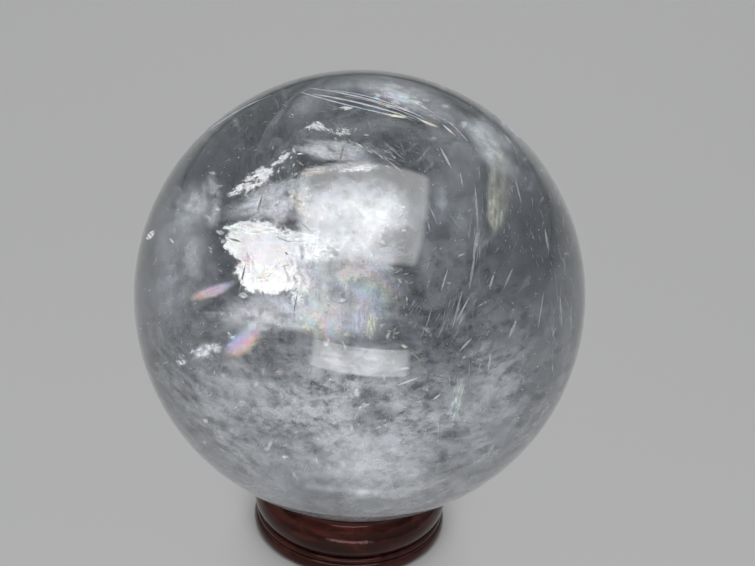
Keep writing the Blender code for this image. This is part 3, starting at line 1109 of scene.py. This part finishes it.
class CALCITE_OT_clouds(bpy.types.Operator):
    """Make the milkiness: nested wavy shells, clouded by noise and denser towards the bottom"""

    bl_idname = "calcite.clouds"
    bl_label = "Milky clouds"

    def execute(self, context):
        material = self.milk(context.scene.calcite_stone)
        ball = ball_points(*CLOUD_GRID)
        for number, share in enumerate(CLOUD_SHELLS):
            wave = 1.0 + 0.02 * ripples(200 + number, ball[:, 0] + 2 * ball[:, 1], ball[:, 2], 5.0)
            reach = np.minimum(share * wave, DEEPEST_REACH)[:, None] * STONE_RADIUS
            points = ball * reach + STONE_CENTRE
            dress(put_mesh(f"milk_cloud_{number + 1}", points, pole_faces(*CLOUD_GRID)), material)
        return {"FINISHED"}

    def milk(self, settings):
        """Thin milk, its cover and tint set by height, which counts a little towards the back. The tint is
        a dark grey towards the top, a painted shade, and white towards the bottom.
        """
        finish = Finish("milk_cloud")
        place = finish.place()
        cloud = finish.noise(place, 80.0, 3.0, 0.62)
        grit = finish.noise(finish.place((1.0, 0.6, 1.5), (0.6, 0.3, 0.9)), 330.0, 3.0, 0.75)
        coords = finish.split(place)
        low, high = STONE_LOW[2], STONE_HIGH[2]
        height = finish.math("SUBTRACT", coords["Z"], finish.math("MULTIPLY", coords["Y"], -0.35))
        level = finish.spread(height, low + 0.004, high - 0.014, settings.milk_low, settings.milk_high)
        mottle = finish.spread(cloud, 0.34, 0.68, 0.25, 1.7)
        speckle = finish.spread(grit, 0.40, 0.62, 0.12, 2.2)
        cover = finish.math("MULTIPLY", level, mottle)
        # Painted shade: the milk is tinted a dark grey towards the top and white towards the bottom,
        # blended by height
        pale = finish.spread(height, low + 0.012, high - 0.022, 1.0, 0.0)
        painted_shade_tint = finish.mottle(grit, (0.010, 0.011, 0.011), (0.12, 0.127, 0.136), 0.34, 0.62)
        finish.principled(
            Base_Color=finish.blend(pale, painted_shade_tint, (0.93, 0.94, 0.97)), Roughness=1.0,
            Specular_IOR_Level=0.0, Alpha=finish.math("MULTIPLY", cover, speckle, clamp=True),
            Normal=finish.bump(grit, 0.3, 0.0003),
        )
        return finish.material


class CALCITE_OT_dust(bpy.types.Operator):
    """Scatter the fine shards that sparkle all through the stone"""

    bl_idname = "calcite.dust"
    bl_label = "Sparkling shards"

    def execute(self, context):
        draw = np.random.default_rng(5)
        corner = np.array([(1, 1, 1), (1, -1, -1), (-1, 1, -1), (-1, -1, 1)], float) / math.sqrt(3)
        heading = draw.normal(0, 1, (DUST_COUNT, 3))
        heading /= np.linalg.norm(heading, axis=-1, keepdims=True)
        reach = draw.uniform(0, 1, DUST_COUNT) ** (1 / 3) * 0.975
        middle = heading * reach[:, None] * STONE_RADIUS
        keep = draw.uniform(0, 1, DUST_COUNT) < 0.35 + 0.65 * (0.5 - middle[:, 2] / STONE_RADIUS / 2)
        middle = middle[keep] + STONE_CENTRE
        count = len(middle)
        size = np.exp(draw.uniform(*np.log(DUST_SIZE), (count, 1, 1)))
        stretch = draw.uniform(0.3, 1.6, (count, 1, 3))
        axes = np.linalg.qr(draw.normal(0, 1, (count, 3, 3)))[0]
        axes[:, :, 2] *= np.sign(np.linalg.det(axes))[:, None]
        shards = np.einsum("nij,nkj->nki", axes, corner[None] * stretch * size) + middle[:, None]
        face = np.array([(0, 1, 2), (0, 3, 1), (0, 2, 3), (1, 3, 2)])
        dust = put_mesh("sparkling_shards", shards, repeat_faces([face], 4, count), smooth=False)
        finish = Finish("shard_white")
        shade = finish.noise(finish.place(), 700.0, 3.0)
        tint = finish.mottle(shade, (0.62, 0.64, 0.68), (1.0, 1.0, 1.0))
        finish.principled(Base_Color=tint, Roughness=0.3)
        dress(dust, finish.material)
        return {"FINISHED"}


class CALCITE_OT_needles(bpy.types.Operator):
    """Make the cleavage needles, the bright arcs near the top and the dark cracks"""

    bl_idname = "calcite.needles"
    bl_label = "Needles, lines and cracks"

    def execute(self, context):
        ior = context.scene.calcite_stone.ior
        needles = np.array(NEEDLES) * (1, 1, 1, 1, NEEDLE_GIRTH, 1, 1)
        # Painted glint: the needles are near white under any lamp
        glint = self.plain("needle_glint", (0.93, 0.95, 1.0), (1.0, 1.0, 1.0), 0.25)
        dress(make_slivers("cleavage_needles", needles, ior), glint)
        slivers = [group_slivers(300 + number, row) for number, row in enumerate(SLIVER_GROUPS)]
        faint = self.plain("sliver_grey", (0.25, 0.26, 0.28), (0.62, 0.64, 0.68), 0.4)
        dress(make_slivers("brushed_slivers", np.concatenate(slivers), ior, 5), faint)
        cracks = [(*row, *CRACK_DEPTH) for row in CRACKS]
        dark = self.plain("crack_shadow", (0.09, 0.09, 0.08), (0.30, 0.29, 0.26), 0.6)
        dress(make_slivers("dark_cracks", cracks, ior), dark)
        self.make_top_arc_lines(ior)
        return {"FINISHED"}

    def plain(self, name, dark, light, rough):
        """Two close tints, mottled."""
        finish = Finish(name)
        shade = finish.noise(finish.place(), 1500.0, 3.0)
        finish.principled(
            Base_Color=finish.mottle(shade, dark, light), Roughness=rough,
            Normal=finish.bump(shade, 0.3, 0.0002),
        )
        return finish.material

    def make_top_arc_lines(self, ior, steps=60):
        """Bright arcs near the top: threads along cubic Bezier curves through the picture, in film
        colours, their brightness a painted internal reflection.
        """
        share = (np.arange(steps) + 1.0) / (steps + 1)
        back = 1 - share
        weights = np.stack([back**3, 3 * share * back**2, 3 * share**2 * back, share**3], axis=-1)
        points, patches = [], []
        for number, (route, width, depth) in enumerate(TOP_ARC_LINES):
            swell = width * np.sin(share * math.pi) ** 0.5 * (
                0.75 + 0.25 * ripples(80 + number, share, 0.0 * share, 30.0)
            )
            ends = np.array([(*route[0], depth), (*route[-1], depth)])
            level = np.full(steps, depth)
            points.append(thread_points(weights @ np.array(route, float), swell, level, ends, ior))
            along = np.concatenate([[0.0], np.repeat(share, 4), [1.0]])
            patches.append(np.stack([along, np.full(len(along), number * 0.37), 0 * along], axis=-1))
        faces = repeat_faces(pole_faces(steps, 4), len(points[0]), len(points))
        lines = put_mesh("growth_lines", np.concatenate(points), faces, np.concatenate(patches))
        finish = Finish("growth_line")
        shade = finish.noise(finish.place(), 500.0, 4.0)
        patch = finish.patch()
        travel = finish.math("ADD", finish.math("MULTIPLY", patch["X"], 1.3), patch["Y"])
        hue = finish.ramp(finish.math("FRACT", travel), SPECTRUM)
        tint = finish.mottle(shade, (0.80, 0.83, 0.90), hue, 0.45, 0.7)
        finish.principled(Base_Color=tint, Roughness=0.3)
        dress(lines, finish.material)


class CALCITE_OT_ring(bpy.types.Operator):
    """Make the turned, lacquered ring that carries the stone"""

    bl_idname = "calcite.ring"
    bl_label = "Turned ring"

    def execute(self, context):
        settings = context.scene.calcite_stand
        outside = [self.bend(*form) for form in RING_ARCS]
        section = np.concatenate([np.array(RING_SEAT), *outside, np.array(RING_BORE)]) / 1000
        points = turned(section[:, 0], section[:, 1], RING_COLUMNS)
        ring = put_mesh("turned_ring", points, [grid_faces(len(section), RING_COLUMNS)])
        finish = Finish("lacquered_wood")
        place = finish.place((1.0, 1.0, 3.0))
        figure = finish.noise(place, 140.0, 6.0, 0.6, 1.2)
        pores = finish.noise(place, 1500.0, 3.0, 0.6)
        wave = finish.noise(finish.place(), 420.0, 3.0, 0.5)
        finish.principled(
            Base_Color=finish.mottle(figure, settings.wood, settings.glow, 0.42, 0.66),
            Roughness=0.14, Specular_IOR_Level=0.30, Specular_Tint=(1.0, 0.36, 0.30),
            Coat_Weight=0.38, Coat_Roughness=settings.gloss, Coat_IOR=1.45,
            Normal=finish.bump(pores, 0.08, 0.0001), Coat_Normal=finish.bump(wave, 0.25, 0.0006),
        )
        dress(ring, finish.material, "lacquered_wood")
        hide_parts("ring_stand")
        return {"FINISHED"}

    def bend(self, form, turn, count):
        """Points of an elliptical arc, from its centre and half axes, between two angles."""
        radius, height, half_width, half_height = form
        angle = np.radians(np.linspace(*turn, count))
        return np.stack(
            [radius + half_width * np.cos(angle), height + half_height * np.sin(angle)], axis=-1
        )


class CALCITE_OT_stage(bpy.types.Operator):
    """Lay the plain floor and set the soft lights and the camera"""

    bl_idname = "calcite.stage"
    bl_label = "Stage"

    def execute(self, context):
        settings = context.scene.calcite_stage
        self.lay_floor(tuple(settings.floor))
        for name, (setting, *place) in LAMPS.items():
            self.add_lamp(context, name, getattr(settings, setting), *place)
        self.set_surround(context, settings.surround)
        self.set_camera(context)
        context.scene.view_settings.view_transform = "Standard"
        context.scene.cycles.transparent_max_bounces = 22
        context.scene.cycles.max_bounces = 9
        context.scene.cycles.diffuse_bounces = 2
        return {"FINISHED"}

    def lay_floor(self, pale, half=3.0, steps=9):
        """A large flat floor on which the ring stands, a grid of equal squares."""
        line = np.linspace(-half, half, steps)
        x, y = np.meshgrid(line, line)
        corner = np.arange(steps - 1)[:, None] * steps + np.arange(steps - 1)[None, :]
        quads = np.stack([corner, corner + 1, corner + steps + 1, corner + steps], axis=-1)
        floor = put_mesh("floor", np.stack([x, y, 0 * x], axis=-1), [quads.reshape(-1, 4)])
        finish = Finish("plain_floor")
        shade = finish.noise(finish.place(), 5.0, 2.0)
        tint = finish.blend(shade, tuple(value * 0.97 for value in pale), pale)
        finish.principled(Base_Color=tint, Roughness=0.8, Specular_IOR_Level=0.15)
        floor.data.materials.append(finish.material)

    def set_surround(self, context, strength):
        """An even light all round, a little brighter overhead."""
        world = bpy.data.worlds.new("surround")
        context.scene.world = world
        world.use_nodes = True
        nodes = Nodes(world.node_tree)
        rise = nodes.split(nodes.add("ShaderNodeTexCoord").outputs["Generated"])["Z"]
        sky = nodes.ramp(rise, [(0.0, (0.50, 0.52, 0.54)), (0.75, (0.95, 0.98, 1.0))], "EASE")
        backdrop = nodes.tree.nodes["Background"]
        nodes.feed(backdrop.inputs["Color"], sky)
        nodes.feed(backdrop.inputs["Strength"], strength)

    def add_lamp(self, context, name, power, elevation, azimuth, distance, size, roll, reflected):
        """A rectangular area light that faces the stone. Elevation counts from the front horizon."""
        lift = math.radians(elevation)
        swing = math.radians(azimuth)
        away = Vector(
            (math.sin(swing), -math.cos(lift) * math.cos(swing), math.sin(lift) * math.cos(swing))
        )
        lamp = bpy.data.lights.new(name, "AREA")
        lamp.shape = "RECTANGLE"
        lamp.size, lamp.size_y = size
        lamp.energy = power
        self.soften(lamp)
        holder = bpy.data.objects.new(name, lamp)
        context.scene.collection.objects.link(holder)
        upright = away.cross(Vector((1.0, 0.0, 0.0))).normalized()
        side = upright.cross(away).normalized()
        turn = Matrix((side, upright, away)).transposed()
        turn = turn @ Matrix.Rotation(math.radians(roll), 3, "Z")
        place = Matrix.Translation(Vector(STONE_CENTRE) + away * distance)
        holder.matrix_world = place @ turn.to_4x4()
        holder.visible_camera = False
        holder.visible_glossy = reflected
        holder.visible_transmission = reflected

    def soften(self, lamp):
        """Let the light fall off towards the panel's edges, like a softbox's cloth front."""
        lamp.use_nodes = True
        nodes = Nodes(lamp.node_tree)
        face = nodes.split(nodes.add("ShaderNodeNewGeometry").outputs["Parametric"])
        shares = [
            nodes.spread(nodes.math("PINGPONG", face[axis], 0.5), 0.0, SOFT_EDGE) for axis in ("X", "Y")
        ]
        strength = nodes.tree.nodes["Emission"].inputs["Strength"]
        nodes.feed(strength, nodes.math("MULTIPLY", *shares))

    def set_camera(self, context):
        """The photograph's view: a long lens, from above and in front."""
        lens = bpy.data.cameras.new("view")
        lens.sensor_width = SENSOR_WIDTH
        lens.lens = SENSOR_WIDTH * FOCAL_PIXELS / PICTURE_WIDTH
        lens.clip_start = 0.01
        lens.clip_end = 50.0
        camera = bpy.data.objects.new("view", lens)
        context.scene.collection.objects.link(camera)
        turn = Matrix([list(row) for row in CAMERA_TURN])
        camera.matrix_world = Matrix.Translation(Vector(CAMERA_PLACE)) @ turn.to_4x4()
        context.scene.camera = camera


STEPS = (
    "stone", "fractures", "pearls", "films", "veils", "mists", "smudges", "clouds", "dust", "needles",
    "ring", "stage",
)
CLASSES = (
    CalciteStoneSettings, CalciteStandSettings, CalciteStageSettings,
    CALCITE_OT_stone, CALCITE_OT_fractures, CALCITE_OT_pearls, CALCITE_OT_films, CALCITE_OT_veils,
    CALCITE_OT_mists, CALCITE_OT_smudges, CALCITE_OT_clouds, CALCITE_OT_dust, CALCITE_OT_needles,
    CALCITE_OT_ring, CALCITE_OT_stage,
)
SETTINGS = {
    "calcite_stone": CalciteStoneSettings,
    "calcite_stand": CalciteStandSettings,
    "calcite_stage": CalciteStageSettings,
}


class CALCITE_PT_panel(bpy.types.Panel):
    """Lists the settings and the steps in the 3D view's sidebar."""

    bl_idname = "CALCITE_PT_panel"
    bl_label = "Calcite sphere"
    bl_space_type = "VIEW_3D"
    bl_region_type = "UI"
    bl_category = "Calcite"

    def draw(self, context):
        column = self.layout.column(align=True)
        for step in STEPS:
            column.operator(f"calcite.{step}")
        for name, group in SETTINGS.items():
            box = self.layout.box()
            for key in group.__annotations__:
                box.prop(getattr(context.scene, name), key)


def register():
    for item in CLASSES + (CALCITE_PT_panel,):
        bpy.utils.register_class(item)
    for name, group in SETTINGS.items():
        setattr(bpy.types.Scene, name, PointerProperty(type=group))


def unregister():
    for name in SETTINGS:
        delattr(bpy.types.Scene, name)
    for item in reversed(CLASSES + (CALCITE_PT_panel,)):
        bpy.utils.unregister_class(item)


def main():
    register()
    for step in STEPS:
        getattr(bpy.ops.calcite, step)()


if __name__ == "__main__":
    main()
